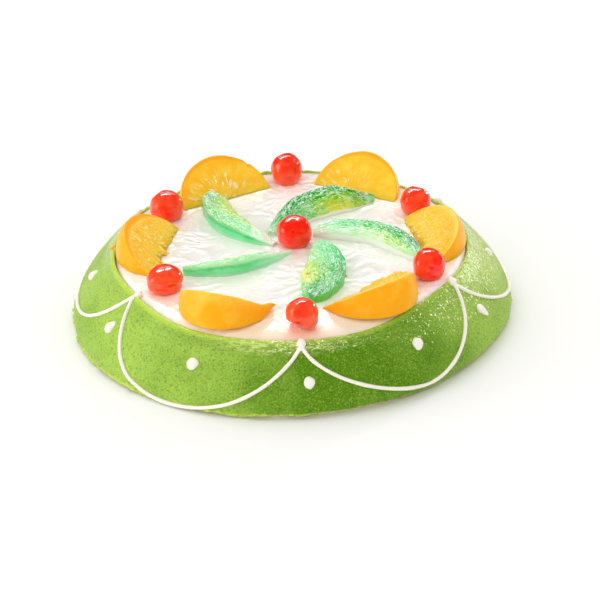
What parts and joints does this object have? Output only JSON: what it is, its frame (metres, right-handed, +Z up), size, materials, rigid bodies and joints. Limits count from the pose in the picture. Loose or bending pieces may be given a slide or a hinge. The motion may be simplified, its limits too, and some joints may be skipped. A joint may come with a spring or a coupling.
{
  "type": "cassata",
  "caption": "Round iced cake under domed green marzipan with piped white swags, topped with candied cherries, orange wedges and citron leaves.",
  "frame": {"origin": "middle of the cake's bounding box at its underside, where the sponge stands", "axes": "+Z up, -Y towards the front, where a cherry stands over the joint of two swags, +X to the right"},
  "size_m": [0.2608, 0.2602, 0.0634],
  "materials": {
    "marzipan": "green marzipan, finely pitted, with a dull sheen",
    "sponge": "baked sponge, matt and open",
    "icing": "poured sugar icing, glossy with fine wrinkles",
    "cherry": "candied cherry, wet and glossy",
    "orange": "candied orange, smooth moist skin and grainy cut faces",
    "citron": "candied citron, sugary on top and clear at its cut sides"
  },
  "bodies": {
    "root": {"marzipan": "marzipan", "sponge_base": "sponge", "icing": "icing", "cherry_centre": "cherry", "cherry_front": "cherry", "cherry_front_right": "cherry", "cherry_back_right": "cherry", "cherry_back": "cherry", "cherry_back_left": "cherry", "cherry_front_left": "cherry", "orange_back_left": "orange", "orange_back_right": "orange", "orange_right": "orange", "orange_front_right": "orange", "orange_front_left": "orange", "orange_left": "orange", "citron_left_back": "citron", "citron_back": "citron", "citron_right": "citron", "citron_front": "citron", "citron_left": "citron"}
  },
  "joints": []
}
